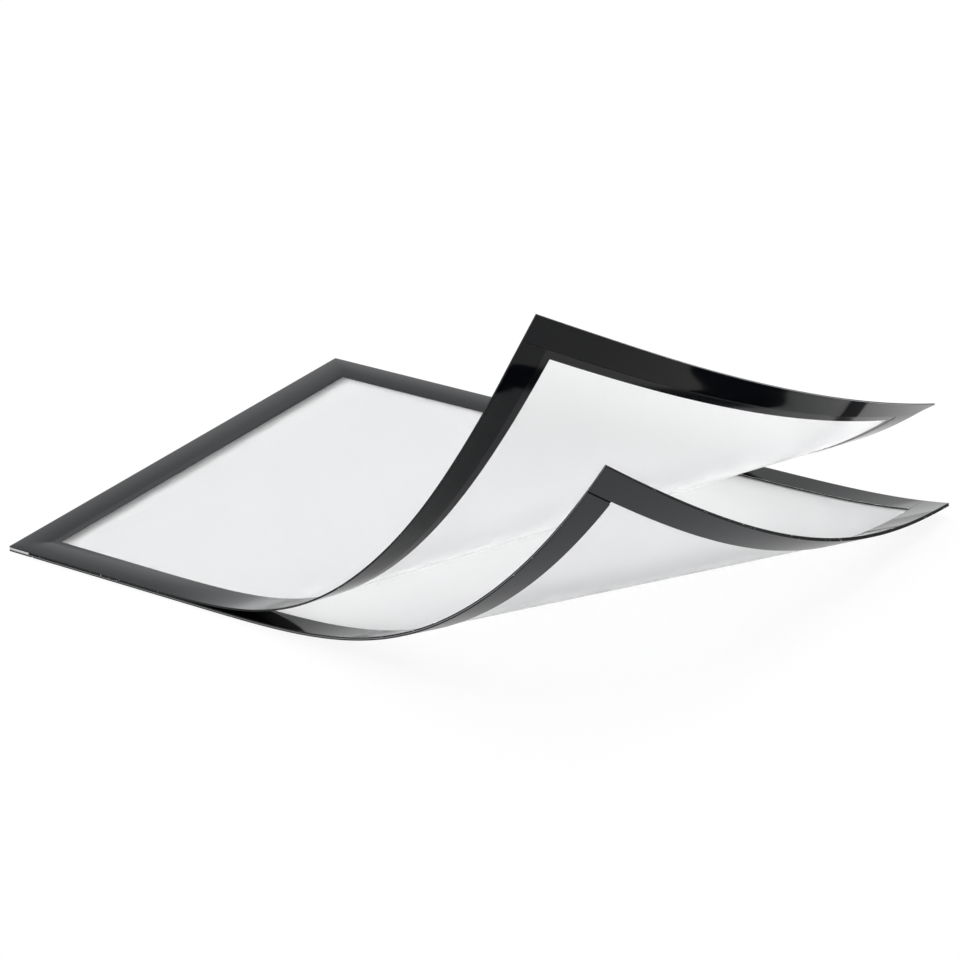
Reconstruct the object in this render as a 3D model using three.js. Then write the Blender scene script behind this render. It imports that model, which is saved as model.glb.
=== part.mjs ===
// A magnetic display frame for one A4 sheet, held open: a rear panel and a front flap of film, each edged with
// magnet strips, the flap bonded to the rear panel along one short edge and free to lift on the other three.
// Both panels are bent up at their free near corner, the flap further than the rear panel.
// Millimetres, +Z up. X runs from the bonded edge to the free edge, Y from the near long edge to the far one.
// The origin is the middle of the back magnet strip at the bonded edge, on the face that clings to steel.
import * as THREE from "three";

// The sheet of paper that the frame takes, and its play inside the strips
const insertLength = 297;
const insertWidth = 210;
const insertClearance = 1;

// Magnet strips, and the border that laps past them over the flap's window
const stripWidth = 12;
const borderLap = 3.5;
const buttGap = 0.3;
const stripCornerRadius = 1;
const stripCornerSteps = 3;

// Layers of the laminate
const backStripThickness = 0.5;
const filmThickness = 0.25;
const seatStripThickness = 0.5;
const flapStripThickness = 0.3;
const borderThickness = 0.1;
const glueLine = 0.05;
const closingGap = 0.1;

// Bonded edge: the leaf of the flap that stays down, and the thin line of film that the flap turns on
const hingeWidth = 0.6;
const bondInset = 0.9;

// Curl of each panel: where the bend starts on the near edge, how far the fold lines lean from the short edge
// at the bend's start and at the free edge, the whole angle turned, the share of the bend at which it is
// tightest, and what is left of that tightness at the free edge
const foldCount = 40;
const flapBendStart = 64.5;
const flapFirstLean = 16.1;
const flapLastLean = 48.4;
const flapTurn = 85.1;
const flapPeak = 0.339;
const flapEase = 0.035;
const rearBendStart = 91.6;
const rearFirstLean = 29.6;
const rearLastLean = 41;
const rearTurn = 87.3;
const rearPeak = 0.528;
const rearEase = 0.703;

// Outlines that follow from these
const sheetLength = insertLength + 2 * (insertClearance + stripWidth);
const sheetWidth = insertWidth + 2 * (insertClearance + stripWidth);
const leafWidth = stripWidth - hingeWidth;
const bondWidth = leafWidth - bondInset;
const borderWidth = stripWidth + borderLap;

// Heights of the layers above the steel surface
const rearFilmBase = backStripThickness + glueLine;
const rearFilmTop = rearFilmBase + filmThickness;
const seatStripBase = rearFilmTop + glueLine;
const seatStripTop = seatStripBase + seatStripThickness;
const flapStripBase = seatStripTop + closingGap;
const flapStripTop = flapStripBase + flapStripThickness;
const flapFilmBase = flapStripTop + glueLine;
const flapFilmTop = flapFilmBase + filmThickness;
const borderBase = flapFilmTop + glueLine;
const borderTop = borderBase + borderThickness;

const { lerp, degToRad, smoothstep } = THREE.MathUtils;

// How tight the curl is at a share of the bend: it rises smoothly to its peak, then eases off evenly.
function tightness(share, peak, ease) {
  if (share < peak) return smoothstep(share, 0, peak);
  return lerp(1, ease, (share - peak) / (1 - peak));
}

// How far a flat point lies past a fold line, square to the line.
function reachPast(fold, point) {
  return (point.along - fold.crossing) * Math.cos(fold.lean) - point.across * Math.sin(fold.lean);
}

// The turn that lifts what lies past a fold line.
function foldTurn(fold) {
  const line = new THREE.Vector3(Math.sin(fold.lean), Math.cos(fold.lean), 0);
  const turn = new THREE.Matrix4().makeRotationAxis(line, -fold.angle);
  const toLine = new THREE.Matrix4().makeTranslation(-fold.crossing, 0, 0);
  const fromLine = new THREE.Matrix4().makeTranslation(fold.crossing, 0, 0);
  return fromLine.multiply(turn).multiply(toLine);
}

// A flat outline cut in two by a fold line. Its corners run anticlockwise seen from above.
function splitAtFold(outline, fold) {
  const before = [];
  const beyond = [];
  outline.forEach((point, i) => {
    const next = outline[(i + 1) % outline.length];
    const here = reachPast(fold, point);
    const there = reachPast(fold, next);
    if (here <= 0) before.push(point);
    else beyond.push(point);
    if (here * there < 0) {
      const share = here / (here - there);
      const along = lerp(point.along, next.along, share);
      const across = lerp(point.across, next.across, share);
      const crossing = { along, across, fold };
      before.push(crossing);
      beyond.push(crossing);
    }
  });
  return [before, beyond];
}

// A panel bent along straight fold lines that fan out from its near edge. The film's middle keeps its length,
// and every layer on it stays parallel to it.
class CurledPanel {
  constructor(filmMiddle, bendStart, firstLean, lastLean, turn, peak, ease) {
    this.filmMiddle = filmMiddle;
    this.folds = [];
    const shares = Array.from({ length: foldCount }, (_, k) => (k + 0.5) / foldCount);
    const allTightness = shares.reduce((sum, share) => sum + tightness(share, peak, ease), 0);
    let placing = new THREE.Matrix4().makeTranslation(0, 0, filmMiddle);
    for (const share of shares) {
      const fold = {
        crossing: lerp(bendStart, sheetLength, share),
        lean: degToRad(lerp(firstLean, lastLean, share)),
        angle: (degToRad(turn) * tightness(share, peak, ease)) / allTightness,
        placing,
      };
      this.folds.push(fold);
      placing = placing.clone().multiply(foldTurn(fold));
    }
    this.lastPlacing = placing;
  }

  // The flat facets that a flat outline becomes, each with the placing of its stretch of the panel.
  facets(outline) {
    const found = [];
    let rest = outline;
    for (const fold of this.folds) {
      const [before, beyond] = splitAtFold(rest, fold);
      if (before.length > 2) found.push({ outline: before, placing: fold.placing });
      rest = beyond;
      if (rest.length < 3) return found;
    }
    found.push({ outline: rest, placing: this.lastPlacing });
    return found;
  }

  // A flat point of a facet at a layer's height. On a fold line the layers meet on the bend's mitre.
  place(facet, point, height) {
    const offset = height - this.filmMiddle;
    if (!point.fold) return new THREE.Vector3(point.along, point.across, offset).applyMatrix4(facet.placing);
    const { lean, angle, placing } = point.fold;
    const mitre = offset * Math.tan(angle / 2);
    const along = point.along - mitre * Math.cos(lean);
    const across = point.across + mitre * Math.sin(lean);
    return new THREE.Vector3(along, across, offset).applyMatrix4(placing);
  }
}

const edgeName = (a, b) => [a.along, a.across, b.along, b.across].map((x) => x.toFixed(4)).join(" ");

// A layer of a panel between two heights: its flat cells share whole edges, and walls stand on the others.
function layerGeometry(panel, cells, base, top) {
  const facets = cells.flatMap((cell) => panel.facets(cell));
  const sides = facets.flatMap((facet) =>
    facet.outline.map((a, i) => ({ facet, a, b: facet.outline[(i + 1) % facet.outline.length] })),
  );
  const edges = new Set(sides.map(({ a, b }) => edgeName(a, b)));
  const corners = [];
  const triangle = (...points) => corners.push(...points);
  for (const facet of facets) {
    const upper = facet.outline.map((point) => panel.place(facet, point, top));
    const lower = facet.outline.map((point) => panel.place(facet, point, base));
    for (let i = 1; i < upper.length - 1; i++) {
      triangle(upper[0], upper[i], upper[i + 1]);
      triangle(lower[0], lower[i + 1], lower[i]);
    }
  }
  for (const { facet, a, b } of sides) {
    if (edges.has(edgeName(b, a))) continue;
    const [aBase, bBase] = [a, b].map((point) => panel.place(facet, point, base));
    const [aTop, bTop] = [a, b].map((point) => panel.place(facet, point, top));
    triangle(aBase, bBase, bTop);
    triangle(aBase, bTop, aTop);
  }
  const geometry = new THREE.BufferGeometry().setFromPoints(corners);
  geometry.computeVertexNormals();
  return geometry;
}

const corner = (along, across) => ({ along, across });

function rectangle(alongStart, acrossStart, alongEnd, acrossEnd) {
  return [
    corner(alongStart, acrossStart),
    corner(alongEnd, acrossStart),
    corner(alongEnd, acrossEnd),
    corner(alongStart, acrossEnd),
  ];
}

// A quarter circle of corners, anticlockwise from its first angle in quarter turns.
function roundedCorner(along, across, firstQuarter) {
  return Array.from({ length: stripCornerSteps + 1 }, (_, i) => {
    const angle = ((firstQuarter + i / stripCornerSteps) * Math.PI) / 2;
    const radius = stripCornerRadius;
    return corner(along + radius * Math.cos(angle), across + radius * Math.sin(angle));
  });
}

// A strip along the near long edge, its two corners at the window rounded.
function nearStrip(alongStart, alongEnd) {
  const inner = stripWidth - stripCornerRadius;
  return [
    corner(alongStart, 0),
    corner(alongEnd, 0),
    ...roundedCorner(alongEnd - stripCornerRadius, inner, 0),
    ...roundedCorner(alongStart + stripCornerRadius, inner, 1),
  ];
}

// The same strip along the far long edge.
function farStrip(alongStart, alongEnd) {
  const inner = sheetWidth - stripWidth + stripCornerRadius;
  return [
    ...roundedCorner(alongStart + stripCornerRadius, inner, 2),
    ...roundedCorner(alongEnd - stripCornerRadius, inner, 3),
    corner(alongEnd, sheetWidth),
    corner(alongStart, sheetWidth),
  ];
}

// A strip across a short edge, the full width of the panel.
function shortStrip(alongStart) {
  return rectangle(alongStart, 0, alongStart + stripWidth, sheetWidth);
}

// The cells of a rectangle with a window cut out of its middle.
function windowFrame(alongLines, acrossLines) {
  const cells = [];
  for (let i = 0; i < 3; i++) {
    for (let j = 0; j < 3; j++) {
      if (i === 1 && j === 1) continue;
      cells.push(rectangle(alongLines[i], acrossLines[j], alongLines[i + 1], acrossLines[j + 1]));
    }
  }
  return cells;
}

const rearPanel = new CurledPanel(
  (rearFilmBase + rearFilmTop) / 2,
  rearBendStart,
  rearFirstLean,
  rearLastLean,
  rearTurn,
  rearPeak,
  rearEase,
);
const flapPanel = new CurledPanel(
  (flapFilmBase + flapFilmTop) / 2,
  flapBendStart,
  flapFirstLean,
  flapLastLean,
  flapTurn,
  flapPeak,
  flapEase,
);

// Finishes
const finishes = {
  clearFilm: { color: 0xe8e9eb, roughness: 0.25, metalness: 0, transparent: true, opacity: 0.85 },
  backMagnet: { color: 0x3d3e41, roughness: 0.6, metalness: 0 },
  glossMagnet: { color: 0x17181a, roughness: 0.18, metalness: 0 },
  satinBorder: { color: 0x3a3b3e, roughness: 0.38, metalness: 0 },
  bondTape: { color: 0xf4f4f2, roughness: 0.7, metalness: 0 },
};

const displayFrame = new THREE.Group();
displayFrame.position.set(-stripWidth / 2, -sheetWidth / 2, 0);

function addLayer(name, finish, panel, cells, base, top) {
  const material = new THREE.MeshStandardMaterial(finishes[finish]);
  const mesh = new THREE.Mesh(layerGeometry(panel, cells, base, top), material);
  mesh.name = name;
  displayFrame.add(mesh);
}

// Rear panel: film between the back magnets, which hold the frame on steel, and the seats of the flap's magnets
const freeStripStart = sheetLength - stripWidth;
const longStripEnd = freeStripStart - buttGap;
const wholeSheet = rectangle(0, 0, sheetLength, sheetWidth);
addLayer("rear_film", "clearFilm", rearPanel, [wholeSheet], rearFilmBase, rearFilmTop);

const backStrips = {
  back_magnet_bonded_edge: shortStrip(0),
  back_magnet_free_edge: shortStrip(freeStripStart),
  back_magnet_near: nearStrip(stripWidth + buttGap, longStripEnd),
  back_magnet_far: farStrip(stripWidth + buttGap, longStripEnd),
};
for (const [name, outline] of Object.entries(backStrips)) {
  addLayer(name, "backMagnet", rearPanel, [outline], 0, backStripThickness);
}

const seatStrips = {
  seat_magnet_free_edge: shortStrip(freeStripStart),
  seat_magnet_near: nearStrip(bondWidth + buttGap, longStripEnd),
  seat_magnet_far: farStrip(bondWidth + buttGap, longStripEnd),
};
for (const [name, outline] of Object.entries(seatStrips)) {
  addLayer(name, "glossMagnet", rearPanel, [outline], seatStripBase, seatStripTop);
}

// Bonded edge: tape, and the leaf of the flap that it holds down
const bond = rectangle(0, 0, bondWidth, sheetWidth);
addLayer("bond_tape", "bondTape", rearPanel, [bond], seatStripBase, flapStripTop);

const leaf = rectangle(0, 0, leafWidth, sheetWidth);
addLayer("leaf_film", "clearFilm", flapPanel, [leaf], flapFilmBase, flapFilmTop);
addLayer("leaf_border", "satinBorder", flapPanel, [leaf], borderBase, borderTop);

const hingeLine = rectangle(leafWidth, 0, stripWidth, sheetWidth);
addLayer("living_hinge", "clearFilm", flapPanel, [hingeLine], flapFilmBase, flapFilmTop);

// Flap: film with a border round its window, and magnets under the border on the three sides that open
const flapSheet = rectangle(stripWidth, 0, sheetLength, sheetWidth);
addLayer("flap_film", "clearFilm", flapPanel, [flapSheet], flapFilmBase, flapFilmTop);

const borderCells = windowFrame(
  [stripWidth, borderWidth, sheetLength - borderWidth, sheetLength],
  [0, borderWidth, sheetWidth - borderWidth, sheetWidth],
);
addLayer("flap_border", "satinBorder", flapPanel, borderCells, borderBase, borderTop);

const flapStrips = {
  flap_magnet_free_edge: shortStrip(freeStripStart),
  flap_magnet_near: nearStrip(stripWidth, longStripEnd),
  flap_magnet_far: farStrip(stripWidth, longStripEnd),
};
for (const [name, outline] of Object.entries(flapStrips)) {
  addLayer(name, "glossMagnet", flapPanel, [outline], flapStripBase, flapStripTop);
}

export default displayFrame;
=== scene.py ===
# A magnetic display frame for one A4 sheet, held open: its looks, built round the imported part.
# Each layer of the two panels is modelled flat, in the place that it has when the frame is shut, and is
# then bent up along fold lines that fan out from the near edge, as the part's own solids are.
import math

import bmesh
import bpy
import numpy as np
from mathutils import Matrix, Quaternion, Vector


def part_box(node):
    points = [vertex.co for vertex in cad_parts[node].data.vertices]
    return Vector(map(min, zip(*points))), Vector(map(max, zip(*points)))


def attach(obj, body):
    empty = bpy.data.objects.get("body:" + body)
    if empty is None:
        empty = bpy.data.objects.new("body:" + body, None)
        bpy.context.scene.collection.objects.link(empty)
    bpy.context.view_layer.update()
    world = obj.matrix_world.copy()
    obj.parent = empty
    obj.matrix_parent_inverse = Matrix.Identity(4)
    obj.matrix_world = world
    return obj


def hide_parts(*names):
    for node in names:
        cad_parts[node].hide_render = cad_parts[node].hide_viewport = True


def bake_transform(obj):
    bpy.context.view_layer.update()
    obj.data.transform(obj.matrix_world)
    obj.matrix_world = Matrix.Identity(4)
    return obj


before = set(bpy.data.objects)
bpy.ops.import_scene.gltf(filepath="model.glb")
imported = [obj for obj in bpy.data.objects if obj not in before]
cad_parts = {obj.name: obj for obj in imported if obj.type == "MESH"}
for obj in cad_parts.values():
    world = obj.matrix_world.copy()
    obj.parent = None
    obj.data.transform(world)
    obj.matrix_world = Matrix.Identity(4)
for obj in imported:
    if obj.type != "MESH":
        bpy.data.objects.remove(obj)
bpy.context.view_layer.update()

MM = 0.001

# Outline and layers, read from the nodes that lie flat at the bonded edge
strip_low, strip_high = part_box("back_magnet_bonded_edge")
tape_low, tape_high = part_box("bond_tape")
leaf_low, leaf_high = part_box("leaf_film")
foil_low, foil_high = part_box("leaf_border")
hinge_low, hinge_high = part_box("living_hinge")

BONDED_EDGE = strip_low.x
NEAR_EDGE = strip_low.y
FAR_EDGE = strip_high.y
STRIP_WIDTH = strip_high.x - strip_low.x
STRIP_THICKNESS = strip_high.z - strip_low.z
FILM_THICKNESS = leaf_high.z - leaf_low.z
REAR_FILM_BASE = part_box("rear_film")[0].z
BACK_STRIPS = (strip_low.z, strip_high.z)
SEAT_STRIPS = (tape_low.z, tape_low.z + STRIP_THICKNESS)
FLAP_STRIPS = (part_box("flap_magnet_near")[0].z, tape_high.z)

# Sizes that the curled nodes don't show in their boxes
SHEET_LENGTH = 323 * MM
BORDER_WIDTH = 15.5 * MM
BACK_BUTT_GAP = 0.7 * MM
SKIN_BUTT_GAP = 0.01 * MM
STRIP_CORNER_RADIUS = 1 * MM
FREE_EDGE = BONDED_EDGE + SHEET_LENGTH

# Painted shadow of the border at the bonded edge, dark on the backing film and seen through the flap's
# film: the stretch from that edge on in which it fades out
BORDER_SHADOW_FADE = (15.6 * MM, 20.2 * MM)

# Edges: rounding of the cut as a share of the thickness, less on a glossy skin, the flat margin beside it,
# the dark rim of the rear panel's strips at the free edge, and the share of a seat strip's inner wall that
# is pale, a painted highlight along its rim
EDGE_ROUNDING = 0.15
SKIN_ROUNDING = 0.03
EDGE_MARGIN = 0.3 * MM
FREE_RIM_WIDTH = 1.5 * EDGE_MARGIN
SEAT_HIGHLIGHT_SHARE = 0.25
RIM_STEPS = 2
CORNER_STEPS = 6
HINGE_CUTS = 9

# Which faces are which: the part of a normal that points up or sideways, and how far inside the sheet's
# edge the walls at the window lie
CAP_FACING = 0.99
WALL_FACING = 0.5
WINDOW_SIDE = 0.95 * STRIP_WIDTH
SMOOTH_ANGLE = math.radians(35)

# Where the flap lies shut its border bows up over the strips and its film sinks into the window: height of
# the bow's crest, its place as a share of the border's width, and its fall over one such width, then the
# film's fall inside the window, how quickly it falls there, the length past the first fold line in which
# all this ends, and the cuts for it across the border and inside the window
CREST_HEIGHT = 0.23 * MM
CREST_SHARE = 0.3
BOW_FALL = 1.2 * MM
SINK_DEPTH = 0.45 * MM
SINK_REACH = 4 * MM
SHUT_FADE = 50 * MM
BAND_CUTS = 7
SINK_CUTS = [1.5 * MM, 3.5 * MM, 6 * MM, 9 * MM, 13 * MM, 18 * MM]

# The raised edges droop: how far each does and over which width, then, from their common corner on, the
# stretch of the free edge in which this sets in, and the stretches of the near edge in which it sets in and
# ends
FREE_DROOP = 0.85 * MM
NEAR_DROOP = 0.53 * MM
DROOP_WIDTH = 10 * MM
FREE_DROOP_START = (20 * MM, 85 * MM)
NEAR_DROOP_START = (15 * MM, 45 * MM)
NEAR_DROOP_END = (80 * MM, 140 * MM)

# Curl of each panel: start of the bend on the near edge, lean of the first and last fold line from the
# short edge, whole angle turned, share of the bend at which it is tightest, and what is left of that at the
# free edge
FOLD_COUNT = 160
FLAP_CURL = dict(bend_start=64.5 * MM, first_lean=16.1, last_lean=48.4, turn=85.1, peak=0.339, ease=0.035)
REAR_CURL = dict(bend_start=91.6 * MM, first_lean=29.6, last_lean=41, turn=87.3, peak=0.528, ease=0.703)

# Points this near to a line lie on it, and cuts this near to a vertex go through it
ON_LINE = 0.002 * MM
ON_VERTEX = ON_LINE / 10

# Camera, as the photograph was taken
VIEW_AZIMUTH = 34.307
VIEW_ELEVATION = 25.062
VIEW_ROLL = -1.348
VIEW_DISTANCE = 1586.4 * MM
VIEW_TARGET = Vector((125.38, 44.28, 0)) * MM
VIEW_LENS = 135.54
SENSOR_WIDTH = 36

# Light of the studio by height over the horizon: sine of the elevation and level, and its tint
SKY_LEVELS = [(0.28, 1), (0.38, 0.78), (0.48, 0.48), (0.58, 0.32)]
SKY_TINT = (0.975, 0.99, 1)

# Softboxes: place and size in metres, power in watts
TOP_SOFTBOX = dict(place=(-0.2, 0.5, 1.6), size=(1.6, 1.6), power=21)
BACK_SOFTBOX = dict(place=(-1.5, 2, 0.3), size=(4, 0.5), power=4.5)

# Floor: size, depth under the object, colour in the light, and the white it shows where it is seen directly
FLOOR_SIZE = 12
FLOOR_DEPTH = 0.1 * MM
FLOOR_COLOUR = (0.85, 0.85, 0.85, 1)
FLOOR_WHITE = 1.05
FLOOR_WHITE_SHARE = 0.85

# Colours that more than one finish has
FILM_COLOUR = (0.97, 0.971, 0.973, 1)
# Dark of the glue under the strips, and also the dark end of the painted shadow on the backing film
GLUE_AND_SHADOW_COLOUR = (0.003, 0.003, 0.0035, 1)

# Grain: detail of the noise, and the span of its values that is spread between low and high
NOISE_DETAIL = 3
NOISE_SPAN = (0.3, 0.7)


def mix(a, b, share):
    return a + (b - a) * share


def ease_in(share):
    """Goes smoothly from 0 to 1 as the share does."""
    share = min(max(share, 0), 1)
    return share * share * (3 - 2 * share)


def ease_over(stretch, place):
    """Goes smoothly from 0 at the start of a stretch to 1 at its end."""
    start, end = stretch
    return ease_in((place - start) / (end - start))


# Finishes

class Finish:
    """A material with its main shader at hand, and short ways to add nodes to it."""

    def __init__(self, name, **values):
        self.material = bpy.data.materials.new(name)
        self.material.use_nodes = True
        self.tree = self.material.node_tree
        self.surface = self.tree.nodes["Principled BSDF"]
        self.set(self.surface, values)

    @staticmethod
    def set(node, values):
        for socket, value in values.items():
            node.inputs[socket].default_value = value

    def add(self, kind, **values):
        node = self.tree.nodes.new(kind)
        self.set(node, values)
        return node

    def add_group(self, group, values):
        node = self.tree.nodes.new("ShaderNodeGroup")
        node.node_tree = group
        self.set(node, values)
        return node

    def link(self, source, target):
        self.tree.links.new(source, target)

    def bump(self, height, strength, distance):
        """Roughens the surface by a height."""
        node = self.add("ShaderNodeBump", Strength=strength, Distance=distance)
        self.link(height, node.inputs["Height"])
        self.link(node.outputs["Normal"], self.surface.inputs["Normal"])


def effect_group(name, inputs, outputs):
    """An empty node group with named sockets, and its two end nodes."""
    group = bpy.data.node_groups.new(name, "ShaderNodeTree")
    for socket, kind in inputs:
        group.interface.new_socket(socket, in_out="INPUT", socket_type=kind)
    for socket, kind in outputs:
        group.interface.new_socket(socket, in_out="OUTPUT", socket_type=kind)
    return group, group.nodes.new("NodeGroupInput"), group.nodes.new("NodeGroupOutput")


def grain_group():
    """Fine grain: a roughness between two values, and a height for bump."""
    inputs = [("Scale", "NodeSocketFloat"), ("Low", "NodeSocketFloat"), ("High", "NodeSocketFloat")]
    outputs = [("Roughness", "NodeSocketFloat"), ("Height", "NodeSocketFloat")]
    group, start, end = effect_group("fine_grain", inputs, outputs)
    place = group.nodes.new("ShaderNodeTexCoord")
    noise = group.nodes.new("ShaderNodeTexNoise")
    noise.inputs["Detail"].default_value = NOISE_DETAIL
    span = group.nodes.new("ShaderNodeMapRange")
    span.inputs["From Min"].default_value, span.inputs["From Max"].default_value = NOISE_SPAN
    group.links.new(place.outputs["Object"], noise.inputs["Vector"])
    group.links.new(start.outputs["Scale"], noise.inputs["Scale"])
    group.links.new(noise.outputs["Fac"], span.inputs["Value"])
    group.links.new(start.outputs["Low"], span.inputs["To Min"])
    group.links.new(start.outputs["High"], span.inputs["To Max"])
    group.links.new(span.outputs["Result"], end.inputs["Roughness"])
    group.links.new(noise.outputs["Fac"], end.inputs["Height"])
    return group


def speck_group():
    """Small sparse specks of one colour on another."""
    inputs = [("Scale", "NodeSocketFloat"), ("Size", "NodeSocketFloat")]
    inputs += [("Ground", "NodeSocketColor"), ("Speck", "NodeSocketColor")]
    group, start, end = effect_group("specks", inputs, [("Color", "NodeSocketColor")])
    place = group.nodes.new("ShaderNodeTexCoord")
    cells = group.nodes.new("ShaderNodeTexVoronoi")
    near = group.nodes.new("ShaderNodeMath")
    near.operation = "LESS_THAN"
    tone = group.nodes.new("ShaderNodeMix")
    tone.data_type = "RGBA"
    group.links.new(place.outputs["Object"], cells.inputs["Vector"])
    group.links.new(start.outputs["Scale"], cells.inputs["Scale"])
    group.links.new(cells.outputs["Distance"], near.inputs[0])
    group.links.new(start.outputs["Size"], near.inputs[1])
    group.links.new(near.outputs["Value"], tone.inputs["Factor"])
    group.links.new(start.outputs["Ground"], tone.inputs["A"])
    group.links.new(start.outputs["Speck"], tone.inputs["B"])
    group.links.new(tone.outputs["Result"], end.inputs["Color"])
    return group


def grained(finish, scale, low, high, bump_strength, bump_depth):
    """Adds fine grain to a finish."""
    grain = finish.add_group(grain_effect, {"Scale": scale, "Low": low, "High": high})
    finish.link(grain.outputs["Roughness"], finish.surface.inputs["Roughness"])
    finish.bump(grain.outputs["Height"], bump_strength, bump_depth)


def specked(finish, scale, size, ground, speck):
    """Adds specks to a finish's colour."""
    values = {"Scale": scale, "Size": size, "Ground": (*ground, 1), "Speck": (*speck, 1)}
    specks = finish.add_group(speck_effect, values)
    finish.link(specks.outputs["Color"], finish.surface.inputs["Base Color"])


grain_effect = grain_group()
speck_effect = speck_group()


def satin_foil():
    finish = Finish("satin_foil", **{"Base Color": (0.0095, 0.0102, 0.0122, 1)})
    grained(finish, scale=2500, low=0.14, high=0.2, bump_strength=0.08, bump_depth=0.05 * MM)
    return finish.material


def gloss_skin():
    finish = Finish("gloss_skin", **{"IOR": 1.4, "Specular IOR Level": 0.29})
    grained(finish, scale=40, low=0.05, high=0.08, bump_strength=0.02, bump_depth=0.2 * MM)
    specked(finish, scale=180, size=0.02, ground=(0.0021, 0.0026, 0.0038), speck=(0.03, 0.03, 0.03))
    return finish.material


def seat_skin():
    finish = Finish("seat_skin", **{"Specular IOR Level": 0.38})
    grained(finish, scale=40, low=0.06, high=0.1, bump_strength=0.02, bump_depth=0.2 * MM)
    specked(finish, scale=180, size=0.02, ground=(0.0055, 0.006, 0.0072), speck=(0.04, 0.04, 0.04))
    return finish.material


def matt_magnet():
    finish = Finish("matt_magnet", **{"Base Color": (0.011, 0.0128, 0.0168, 1)})
    grained(finish, scale=1200, low=0.275, high=0.3, bump_strength=0.01, bump_depth=0.05 * MM)
    return finish.material


def cut_magnet():
    finish = Finish("cut_magnet")
    grained(finish, scale=3000, low=0.55, high=0.8, bump_strength=0.4, bump_depth=0.05 * MM)
    specked(finish, scale=500, size=0.13, ground=(0.012, 0.012, 0.013), speck=(0.5, 0.5, 0.48))
    return finish.material


def dark_cut():
    finish = Finish("dark_cut", **{"Specular IOR Level": 0.2})
    grained(finish, scale=3000, low=0.5, high=0.7, bump_strength=0.3, bump_depth=0.05 * MM)
    specked(finish, scale=400, size=0.12, ground=(0.004, 0.004, 0.0045), speck=(0.6, 0.6, 0.58))
    return finish.material


def strip_glue():
    finish = Finish("strip_glue", **{"Base Color": GLUE_AND_SHADOW_COLOUR, "Specular IOR Level": 0.2})
    grained(finish, scale=1500, low=0.6, high=0.8, bump_strength=0.2, bump_depth=0.05 * MM)
    return finish.material


# Pale cut wall: a painted highlight along the rims of the strips at the window
def painted_highlight_cut():
    finish = Finish("painted_highlight_cut", **{"Base Color": (0.88, 0.88, 0.87, 1)})
    grained(finish, scale=3000, low=0.5, high=0.7, bump_strength=0.3, bump_depth=0.05 * MM)
    return finish.material


def clear_film(name, transmission):
    """Milky film that lets most of the light through, under a smooth skin."""
    values = {"Base Color": FILM_COLOUR, "IOR": 1.1, "Transmission Weight": transmission}
    values |= {"Coat Weight": 0.3, "Coat Roughness": 0.25}
    finish = Finish(name, **values)
    grained(finish, scale=900, low=0.66, high=0.72, bump_strength=0.02, bump_depth=0.02 * MM)
    return finish


def window_film():
    return clear_film("window_film", transmission=0.84).material


def backing_film():
    """Milky film, dark with a painted shadow of the border at the bonded edge, clearing where that fades
    out.
    """
    finish = clear_film("backing_film", transmission=0.74)
    place = finish.add("ShaderNodeTexCoord")
    along = finish.add("ShaderNodeSeparateXYZ")
    start, end = (BONDED_EDGE + inside for inside in BORDER_SHADOW_FADE)
    fade = finish.add("ShaderNodeMapRange", **{"From Min": start, "From Max": end})
    # Painted shadow: the film's colour runs from dark at the bonded border to its own colour inside the
    # window
    tone = finish.add("ShaderNodeMix")
    tone.data_type = "RGBA"
    finish.set(tone, {"A": GLUE_AND_SHADOW_COLOUR, "B": FILM_COLOUR})
    finish.link(place.outputs["Object"], along.inputs["Vector"])
    finish.link(along.outputs["X"], fade.inputs["Value"])
    finish.link(fade.outputs["Result"], tone.inputs["Factor"])
    finish.link(tone.outputs["Result"], finish.surface.inputs["Base Color"])
    return finish.material


def printed_film():
    values = {"Base Color": (0.004, 0.0045, 0.0055, 1), "Specular IOR Level": 0.35}
    finish = Finish("printed_film", **values)
    grained(finish, scale=900, low=0.1, high=0.15, bump_strength=0.02, bump_depth=0.02 * MM)
    return finish.material


def film_edge():
    finish = Finish("film_edge", **{"Base Color": (0.4, 0.405, 0.41, 1)})
    grained(finish, scale=1500, low=0.4, high=0.6, bump_strength=0.2, bump_depth=0.05 * MM)
    return finish.material


def white_tape():
    finish = Finish("white_tape", **{"Base Color": (0.86, 0.86, 0.84, 1)})
    grained(finish, scale=1500, low=0.6, high=0.8, bump_strength=0.3, bump_depth=0.05 * MM)
    return finish.material


SATIN_FOIL = satin_foil()
GLOSS_SKIN = gloss_skin()
SEAT_SKIN = seat_skin()
MATT_MAGNET = matt_magnet()
CUT_MAGNET = cut_magnet()
DARK_CUT = dark_cut()
PAINTED_HIGHLIGHT_CUT = painted_highlight_cut()
STRIP_GLUE = strip_glue()
WINDOW_FILM = window_film()
BACKING_FILM = backing_film()
FILM_EDGE = film_edge()
PRINTED_FILM = printed_film()
WHITE_TAPE = white_tape()


# Bending

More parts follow.
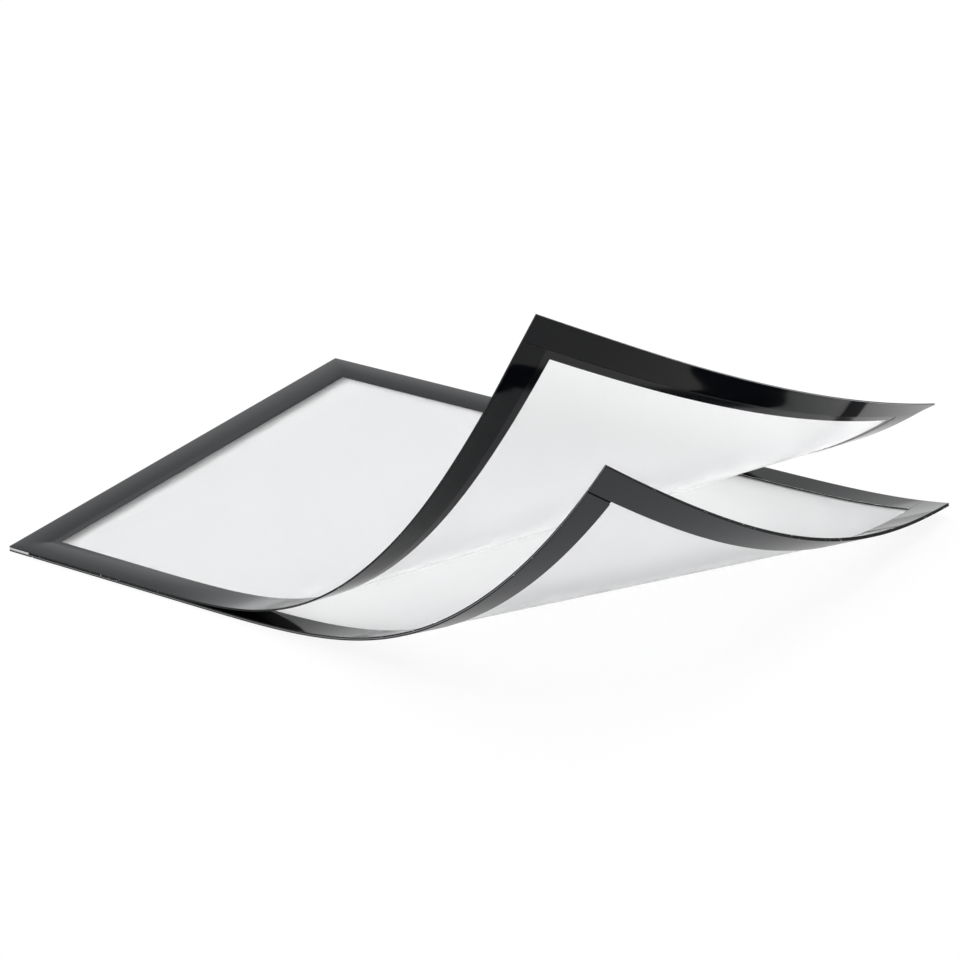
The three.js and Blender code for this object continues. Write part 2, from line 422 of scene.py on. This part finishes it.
class Panel:
    """A sheet that bends up along straight fold lines, each turning what lies past it."""

    def __init__(self, film_base, bend_start, first_lean, last_lean, turn, peak, ease):
        self.film_middle = film_base + FILM_THICKNESS / 2
        self.bend_start = BONDED_EDGE + bend_start
        self.first_lean = math.radians(first_lean)
        shares = [(k + 0.5) / FOLD_COUNT for k in range(FOLD_COUNT)]
        tightness = [self.tightness(share, peak, ease) for share in shares]
        self.folds = []
        for share, tight in zip(shares, tightness):
            crossing = BONDED_EDGE + mix(bend_start, SHEET_LENGTH, share)
            lean = math.radians(mix(first_lean, last_lean, share))
            angle = math.radians(turn) * tight / sum(tightness)
            self.folds.append((crossing, lean, angle))

    @staticmethod
    def tightness(share, peak, ease):
        """How tight the bend is: it rises smoothly to its peak, then eases off evenly."""
        if share < peak:
            return ease_in(share / peak)
        return mix(1, ease, (share - peak) / (1 - peak))

    def past_start(self, point):
        """How far a flat point lies past the first fold line."""
        along = (point.x - self.bend_start) * math.cos(self.first_lean)
        return along - (point.y - NEAR_EDGE) * math.sin(self.first_lean)

    def cut(self, piece):
        """Cuts a flat piece, open in edit mode, along the fold lines that cross it."""
        corners = [Vector(corner) for corner in piece.bound_box]
        for crossing, lean, _ in self.folds:
            square = Vector((math.cos(lean), -math.sin(lean), 0))
            start = Vector((crossing, NEAR_EDGE, 0))
            reaches = [(corner - start) @ square for corner in corners]
            if min(reaches) < 0 < max(reaches):
                cut_across(start, square)

    def bend(self, piece):
        """Turns what lies past each fold line about that line, beginning with the last one."""
        flat = np.array([vertex.co for vertex in piece.data.vertices])
        points = flat.copy()
        for crossing, lean, angle in reversed(self.folds):
            reach = (flat[:, 0] - crossing) * math.cos(lean) - (flat[:, 1] - NEAR_EDGE) * math.sin(lean)
            share = np.where(np.abs(reach) < ON_LINE, 0.5, reach > 0)
            turned = share > 0
            pivot = np.array((crossing, NEAR_EDGE, self.film_middle))
            line = np.array((math.sin(lean), math.cos(lean), 0))
            arm = points[turned] - pivot
            swing = -angle * share[turned, None]
            along = np.outer(arm @ line, line)
            swung = (arm - along) * np.cos(swing) + np.cross(line, arm) * np.sin(swing)
            points[turned] = pivot + along + swung
        piece.data.vertices.foreach_set("co", points.ravel())
        piece.data.update()


# Modelling

def select_where(piece, kind, test):
    """Selects those vertices, edges or faces of a piece in edit mode that pass the test."""
    bpy.ops.mesh.select_mode(type=kind)
    bpy.ops.mesh.select_all(action="DESELECT")
    shape = bmesh.from_edit_mesh(piece.data)
    shape.normal_update()
    for element in {"VERT": shape.verts, "EDGE": shape.edges, "FACE": shape.faces}[kind]:
        if test(element):
            element.select_set(True)
    bmesh.update_edit_mesh(piece.data)


def cut_across(place, square):
    """Cuts all of the piece in edit mode by a plane."""
    bpy.ops.mesh.select_all(action="SELECT")
    bpy.ops.mesh.bisect(plane_co=place, plane_no=square, threshold=ON_VERTEX)


def is_cap(face):
    return abs(face.normal.z) > CAP_FACING


def is_wall(face):
    return abs(face.normal.z) < WALL_FACING


def is_long_wall(face):
    return abs(face.normal.y) > WALL_FACING


def is_free_wall(face):
    return face.normal.x > WALL_FACING


def is_free_rim(face):
    return FREE_EDGE - face.center.x < FREE_RIM_WIDTH


def is_window_wall(face):
    return is_wall(face) and edge_distance(face.center) > WINDOW_SIDE


def lies_within(width):
    """A test for faces that lie nearer than this to the sheet's edge."""
    return lambda face: edge_distance(face.center) < width


def is_rim(edge):
    """True for an edge where a cap meets a wall."""
    return len(edge.link_faces) == 2 and sum(is_cap(face) for face in edge.link_faces) == 1


def flat_plate(name, along, across, base):
    """A flat plate of no thickness yet, left open in edit mode."""
    bpy.ops.object.select_all(action="DESELECT")
    centre = ((along[0] + along[1]) / 2, (across[0] + across[1]) / 2, base)
    bpy.ops.mesh.primitive_plane_add(size=1, location=centre)
    plate = bpy.context.active_object
    plate.name = name
    plate.data.name = name
    plate.scale = (along[1] - along[0], across[1] - across[0], 1)
    bpy.ops.object.transform_apply(location=True, rotation=True, scale=True)
    bpy.ops.object.mode_set(mode="EDIT")
    return plate


def round_corners(plate, inner_side):
    """Rounds the two corners of a strip that lie at the window."""
    select_where(plate, "VERT", lambda vertex: abs(vertex.co.y - inner_side) < ON_LINE)
    bpy.ops.mesh.bevel(affect="VERTICES", offset=STRIP_CORNER_RADIUS, segments=CORNER_STEPS)


def thicken(plate, thickness, rounding=EDGE_ROUNDING):
    """Draws the plate up to its thickness and rounds the rims of the cut."""
    bpy.ops.mesh.select_all(action="SELECT")
    bpy.ops.mesh.extrude_region_move(TRANSFORM_OT_translate={"value": (0, 0, thickness)})
    bpy.ops.mesh.select_all(action="SELECT")
    bpy.ops.mesh.normals_make_consistent(inside=False)
    select_where(plate, "EDGE", is_rim)
    bpy.ops.mesh.bevel(offset=rounding * thickness, segments=RIM_STEPS, affect="EDGES")
    select_where(plate, "FACE", is_cap)
    bpy.ops.mesh.inset(thickness=EDGE_MARGIN)


def cut_hinge():
    """Cuts a sheet across, closely, where it bends at the hinge line."""
    for k in range(HINGE_CUTS):
        place = mix(hinge_low.x, hinge_high.x, k / (HINGE_CUTS - 1))
        cut_across((place, 0, 0), (1, 0, 0))


def edge_distance(point):
    """How far a flat point lies inside the nearest edge of the sheet."""
    along = min(point.x - BONDED_EDGE, FREE_EDGE - point.x)
    across = min(point.y - NEAR_EDGE, FAR_EDGE - point.y)
    return min(along, across)


def cut_round(insets):
    """Cuts a piece along lines that run round with the sheet's edges."""
    for inset in insets:
        for along in (BONDED_EDGE + inset, FREE_EDGE - inset):
            cut_across((along, 0, 0), (1, 0, 0))
        for across in (NEAR_EDGE + inset, FAR_EDGE - inset):
            cut_across((0, across, 0), (0, 1, 0))


def cut_band():
    """Cuts a piece along even lines across the border's width."""
    cut_round([BORDER_WIDTH * k / (BAND_CUTS + 1) for k in range(1, BAND_CUTS + 1)])


def lip(inside):
    """Share of the droop at a distance inside an edge."""
    return max(1 - inside / DROOP_WIDTH, 0) ** 2


def droop(point):
    """How far the flap's raised edges hang down at a flat point."""
    from_free = FREE_EDGE - point.x
    from_near = point.y - NEAR_EDGE
    free_share = ease_over(FREE_DROOP_START, from_near)
    near_share = ease_over(NEAR_DROOP_START, from_free) * (1 - ease_over(NEAR_DROOP_END, from_free))
    return FREE_DROOP * free_share * lip(from_free) + NEAR_DROOP * near_share * lip(from_near)


def flap_lift(point):
    """How far the flap's layers lie above their own plane at a flat point."""
    inside = edge_distance(point)
    share = min(inside / BORDER_WIDTH, 1)
    bow = CREST_HEIGHT - BOW_FALL * (share - CREST_SHARE) ** 2
    sink = SINK_DEPTH * (1 - math.exp(-max(inside - BORDER_WIDTH, 0) / SINK_REACH))
    shut = 1 - ease_in(flap_panel.past_start(point) / SHUT_FADE)
    return shut * (bow - sink) - droop(point)


def lift_flap(piece):
    """Gives a flat piece of the flap its bow, sink and droop."""
    for vertex in piece.data.vertices:
        vertex.co.z += flap_lift(vertex.co)


def paint(piece, finish, test=lambda face: True):
    """Gives a finish to those faces of a flat piece that pass the test."""
    piece.data.materials.append(finish)
    for face in piece.data.polygons:
        if test(face):
            face.material_index = len(piece.data.materials) - 1


def close_flat(piece, panel):
    """Cuts the flat piece along the panel's fold lines and leaves edit mode."""
    panel.cut(piece)
    bpy.ops.mesh.select_all(action="DESELECT")
    bpy.ops.object.mode_set(mode="OBJECT")


def bend_up(piece, panel):
    """Bends a flat, finished piece with its panel and shades it smoothly."""
    panel.bend(piece)
    bpy.ops.object.shade_smooth_by_angle(angle=SMOOTH_ANGLE)
    return piece


def paint_strip(strip, panel, finish, highlight_base):
    """Gives a flat strip its finish, and its cut walls and rims theirs."""
    paint(strip, finish)
    paint(strip, CUT_MAGNET, is_wall)
    # The window walls of the glossy strips are painted pale: a painted highlight along their rims
    if finish != MATT_MAGNET:
        paint(strip, PAINTED_HIGHLIGHT_CUT, is_window_wall)
    # A seat strip keeps that painted highlight only on the top share of its inner wall; below it the wall
    # is dark cut
    if finish == SEAT_SKIN:
        paint(strip, DARK_CUT, lambda face: is_window_wall(face) and face.center.z < highlight_base)
    if panel is flap_panel:
        paint(strip, FILM_EDGE, is_free_wall)
    else:
        paint(strip, DARK_CUT, is_free_rim)


def strip_piece(name, panel, finish, along, across, height, inner_side=None):
    """One magnet strip, with round corners at its inner side where that is given."""
    base, top = height
    strip = flat_plate(name, along, across, base)
    if inner_side is not None:
        round_corners(strip, inner_side)
    thicken(strip, top - base, EDGE_ROUNDING if finish == MATT_MAGNET else SKIN_ROUNDING)
    # Lower end of the painted highlight on a seat strip's inner wall
    highlight_base = mix(top, base, SEAT_HIGHLIGHT_SHARE)
    if finish == SEAT_SKIN:
        cut_across((0, 0, highlight_base), (0, 0, 1))
    if panel is flap_panel:
        cut_band()
    close_flat(strip, panel)
    paint_strip(strip, panel, finish, highlight_base)
    if panel is flap_panel:
        lift_flap(strip)
    return bend_up(strip, panel)


rear_panel = Panel(REAR_FILM_BASE, **REAR_CURL)
flap_panel = Panel(leaf_low.z, **FLAP_CURL)

whole_length = (BONDED_EDGE, FREE_EDGE)
whole_width = (NEAR_EDGE, FAR_EDGE)
near_band = (NEAR_EDGE, NEAR_EDGE + STRIP_WIDTH)
far_band = (FAR_EDGE - STRIP_WIDTH, FAR_EDGE)
free_band = (FREE_EDGE - STRIP_WIDTH, FREE_EDGE)
bonded_band = (BONDED_EDGE, BONDED_EDGE + STRIP_WIDTH)


def three_strips(name, panel, finish, start, gap, height):
    """The free-edge strip of one face, and the near and far strips that butt against it."""
    along = (start, free_band[0] - gap)
    return [
        strip_piece(f"{name}_free_edge", panel, finish, free_band, whole_width, height),
        strip_piece(f"{name}_near", panel, finish, along, near_band, height, near_band[1]),
        strip_piece(f"{name}_far", panel, finish, along, far_band, height, far_band[0]),
    ]


def back_strips():
    look = (rear_panel, MATT_MAGNET)
    bonded = strip_piece("back_strip_bonded_edge", *look, bonded_band, whole_width, BACK_STRIPS)
    start = bonded_band[1] + BACK_BUTT_GAP
    return [bonded, *three_strips("back_strip", *look, start, BACK_BUTT_GAP, BACK_STRIPS)]


def seat_strips():
    start = tape_high.x + SKIN_BUTT_GAP
    return three_strips("seat_strip", rear_panel, SEAT_SKIN, start, SKIN_BUTT_GAP, SEAT_STRIPS)


def flap_strips():
    return three_strips("flap_strip", flap_panel, GLOSS_SKIN, hinge_high.x, SKIN_BUTT_GAP, FLAP_STRIPS)


def rear_window():
    sheet = flat_plate("rear_window", whole_length, whole_width, REAR_FILM_BASE)
    bpy.ops.mesh.inset(thickness=STRIP_WIDTH)
    thicken(sheet, FILM_THICKNESS)
    close_flat(sheet, rear_panel)
    paint(sheet, BACKING_FILM)
    paint(sheet, STRIP_GLUE, lies_within(STRIP_WIDTH))
    paint(sheet, FILM_EDGE, is_long_wall)
    paint(sheet, DARK_CUT, is_free_wall)
    return bend_up(sheet, rear_panel)


def flap_window():
    sheet = flat_plate("flap_window", whole_length, whole_width, leaf_low.z)
    bpy.ops.mesh.inset(thickness=BORDER_WIDTH)
    thicken(sheet, FILM_THICKNESS)
    cut_hinge()
    cut_band()
    cut_round([BORDER_WIDTH + inset for inset in SINK_CUTS])
    close_flat(sheet, flap_panel)
    paint(sheet, WINDOW_FILM)
    paint(sheet, PRINTED_FILM, lies_within(BORDER_WIDTH))
    lift_flap(sheet)
    return bend_up(sheet, flap_panel)


def border_foil():
    foil = flat_plate("border_foil", whole_length, whole_width, foil_low.z)
    bpy.ops.mesh.inset(thickness=BORDER_WIDTH)
    bpy.ops.mesh.delete(type="FACE")
    thicken(foil, foil_high.z - foil_low.z)
    cut_hinge()
    cut_band()
    close_flat(foil, flap_panel)
    paint(foil, SATIN_FOIL)
    lift_flap(foil)
    return bend_up(foil, flap_panel)


def tape_bed():
    bed = flat_plate("tape_bed", (tape_low.x, tape_high.x), whole_width, tape_low.z)
    thicken(bed, tape_high.z - tape_low.z)
    close_flat(bed, rear_panel)
    paint(bed, WHITE_TAPE)
    return bend_up(bed, rear_panel)


def join_to_part(piece, slot, *nodes):
    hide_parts(*nodes)
    return piece


def magnet_node(strip):
    return strip.name.replace("strip", "magnet")


for strip in back_strips():
    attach(join_to_part(strip, "back_magnet", magnet_node(strip)), "rear_panel")
for strip in seat_strips():
    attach(join_to_part(strip, "gloss_magnet", magnet_node(strip)), "rear_panel")
for strip in flap_strips():
    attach(join_to_part(strip, "gloss_magnet", magnet_node(strip)), "flap")
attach(join_to_part(rear_window(), "window_film", "rear_film"), "rear_panel")
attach(join_to_part(tape_bed(), "bond_tape", "bond_tape"), "rear_panel")

flap_film = join_to_part(flap_window(), "window_film", "leaf_film", "living_hinge", "flap_film")
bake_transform(flap_film)
flap_foil = join_to_part(border_foil(), "satin_border", "leaf_border", "flap_border")
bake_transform(flap_foil)


# Camera, floor and light

def aim_camera():
    azimuth = math.radians(VIEW_AZIMUTH)
    elevation = math.radians(VIEW_ELEVATION)
    level = math.cos(elevation)
    back = Vector((math.sin(azimuth) * level, -math.cos(azimuth) * level, math.sin(elevation)))
    lens = bpy.data.cameras.new("camera")
    lens.lens = VIEW_LENS
    lens.sensor_width = SENSOR_WIDTH
    camera = bpy.data.objects.new("camera", lens)
    camera.rotation_mode = "QUATERNION"
    camera.location = VIEW_TARGET + back * VIEW_DISTANCE
    camera.rotation_quaternion = Quaternion(back, math.radians(VIEW_ROLL)) @ back.to_track_quat("Z", "Y")
    bpy.context.scene.collection.objects.link(camera)
    bpy.context.scene.camera = camera


def seen_directly(tree):
    """1 for rays from the camera, a mirror or through film, 0 for light that falls on the object."""
    rays = tree.nodes.new("ShaderNodeLightPath")
    total = rays.outputs["Is Camera Ray"]
    for kind in ("Is Glossy Ray", "Is Transmission Ray"):
        either = tree.nodes.new("ShaderNodeMath")
        either.operation = "MAXIMUM"
        tree.links.new(total, either.inputs[0])
        tree.links.new(rays.outputs[kind], either.inputs[1])
        total = either.outputs["Value"]
    return total


def studio_world():
    """White at the horizon, falling off to grey overhead."""
    world = bpy.data.worlds.new("studio")
    world.use_nodes = True
    tree = world.node_tree
    place = tree.nodes.new("ShaderNodeTexCoord")
    height = tree.nodes.new("ShaderNodeSeparateXYZ")
    tone = tree.nodes.new("ShaderNodeValToRGB")
    ramp = tone.color_ramp
    ramp.interpolation = "LINEAR"
    for position, _ in SKY_LEVELS[2:]:
        ramp.elements.new(position)
    for stop, (position, level) in zip(ramp.elements, SKY_LEVELS):
        stop.position = position
        stop.color = (*(level * tint for tint in SKY_TINT), 1)
    rays = tree.nodes.new("ShaderNodeLightPath")
    shown = tree.nodes.new("ShaderNodeMix")
    shown.data_type = "RGBA"
    shown.inputs["B"].default_value = (1, 1, 1, 1)
    tree.links.new(place.outputs["Generated"], height.inputs["Vector"])
    tree.links.new(height.outputs["Z"], tone.inputs["Fac"])
    tree.links.new(rays.outputs["Is Camera Ray"], shown.inputs["Factor"])
    tree.links.new(tone.outputs["Color"], shown.inputs["A"])
    tree.links.new(shown.outputs["Result"], tree.nodes["Background"].inputs["Color"])
    bpy.context.scene.world = world


def pale_floor():
    """A floor that shows white where the light falls freely and keeps the object's shadow."""
    bpy.ops.object.select_all(action="DESELECT")
    bpy.ops.mesh.primitive_plane_add(size=FLOOR_SIZE, location=(0, 0, -FLOOR_DEPTH))
    floor = bpy.context.active_object
    floor.name = "floor"
    made = bpy.data.materials.new("pale_floor")
    made.use_nodes = True
    tree = made.node_tree
    tree.nodes.clear()
    end = tree.nodes.new("ShaderNodeOutputMaterial")
    matt = tree.nodes.new("ShaderNodeBsdfDiffuse")
    matt.inputs["Color"].default_value = FLOOR_COLOUR
    glow = tree.nodes.new("ShaderNodeEmission")
    glow.inputs["Strength"].default_value = FLOOR_WHITE
    both = tree.nodes.new("ShaderNodeMixShader")
    share = tree.nodes.new("ShaderNodeMath")
    share.operation = "MULTIPLY"
    share.inputs[1].default_value = FLOOR_WHITE_SHARE
    tree.links.new(seen_directly(tree), share.inputs[0])
    tree.links.new(share.outputs["Value"], both.inputs["Fac"])
    tree.links.new(matt.outputs["BSDF"], both.inputs[1])
    tree.links.new(glow.outputs["Emission"], both.inputs[2])
    tree.links.new(both.outputs["Shader"], end.inputs["Surface"])
    floor.data.materials.append(made)


def softbox(name, place, size, power):
    """A rectangular lamp that faces what the camera looks at."""
    lamp = bpy.data.lights.new(name, "AREA")
    lamp.shape = "RECTANGLE"
    lamp.size, lamp.size_y = size
    lamp.energy = power
    box = bpy.data.objects.new(name, lamp)
    box.location = place
    box.rotation_mode = "QUATERNION"
    box.rotation_quaternion = (box.location - VIEW_TARGET).to_track_quat("Z", "Y")
    bpy.context.scene.collection.objects.link(box)


aim_camera()
studio_world()
pale_floor()
softbox("top_softbox", **TOP_SOFTBOX)
softbox("back_softbox", **BACK_SOFTBOX)
bpy.context.scene.view_settings.view_transform = "Standard"
